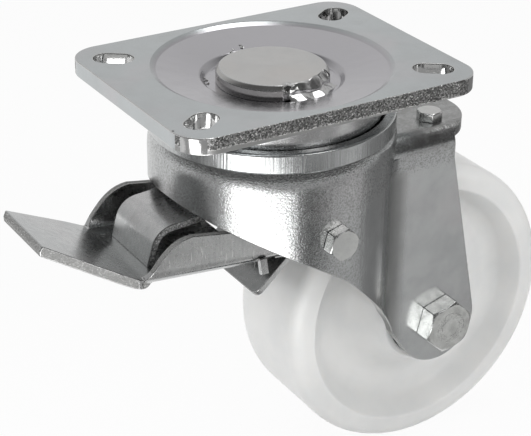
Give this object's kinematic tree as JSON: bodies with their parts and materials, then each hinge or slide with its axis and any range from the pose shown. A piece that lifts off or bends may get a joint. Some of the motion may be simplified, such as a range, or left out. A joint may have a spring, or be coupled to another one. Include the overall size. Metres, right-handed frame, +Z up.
{
  "type": "swivel castor",
  "caption": "Heavy swivel castor with a slotted, dished top plate, a pressed steel drum fork, a foot-operated wheel brake and a white plastic wheel.",
  "frame": {"origin": "centre of the top plate's upper face, on the swivel axis", "axes": "+X is the trailing direction, towards the wheel axle; +Y is the nut side; +Z points up out of the plate, so the wheel hangs towards -Z"},
  "size_m": [0.2519, 0.1215, 0.1928],
  "materials": {
    "plate_zinc": "satin bright zinc plate",
    "fork_zinc": "bright zinc plate, grainy on the bends",
    "pedal_zinc": "bright zinc plate with draw marks",
    "bright_zinc": "turned, bright zinc plate",
    "fastener_zinc": "bright zinc plate",
    "bearing_steel": "ground",
    "plain_steel": "plain",
    "black_plastic": "moulded",
    "white_nylon": "moulded, natural white"
  },
  "bodies": {
    "plate": {"top_plate": "plate_zinc", "kingpin": "bright_zinc", "upper_race": "bearing_steel", "lower_race": "bearing_steel"},
    "fork": {"fork": "fork_zinc", "head_ring": "bright_zinc", "upper_balls": "bearing_steel", "lower_balls": "bearing_steel", "axle_bolt": "fastener_zinc", "axle_nut": "fastener_zinc", "axle_tube": "plain_steel", "axle_spacers": "plain_steel", "bearing_spacer": "plain_steel", "inner_rings": "bearing_steel", "bearing_balls": "bearing_steel", "ball_cages": "black_plastic", "brake_bolt": "fastener_zinc", "brake_nut": "fastener_zinc", "brake_tube": "plain_steel", "leaf_spring": "plain_steel", "spring_bolts": "fastener_zinc", "spring_nuts": "fastener_zinc"},
    "wheel": {"wheel": "white_nylon", "outer_rings": "bearing_steel", "bearing_seals": "black_plastic"},
    "pedal": {"brake_pedal": "pedal_zinc", "brake_strip": "pedal_zinc", "brake_shoe": "pedal_zinc"}
  },
  "joints": [
    {"name": "swivel", "type": "hinge", "parent": "plate", "child": "fork", "pos_m": [0, 0, -0.026], "axis": [0, 0, 1], "continuous": true},
    {"name": "wheel_spin", "type": "hinge", "parent": "fork", "child": "wheel", "pos_m": [0.0666, 0, -0.124], "axis": [0, 1, 0], "continuous": true},
    {"name": "brake_pedal", "type": "hinge", "parent": "fork", "child": "pedal", "pos_m": [0, 0, -0.0594], "axis": [0, -1, 0], "range_deg": [0, 32]}
  ]
}
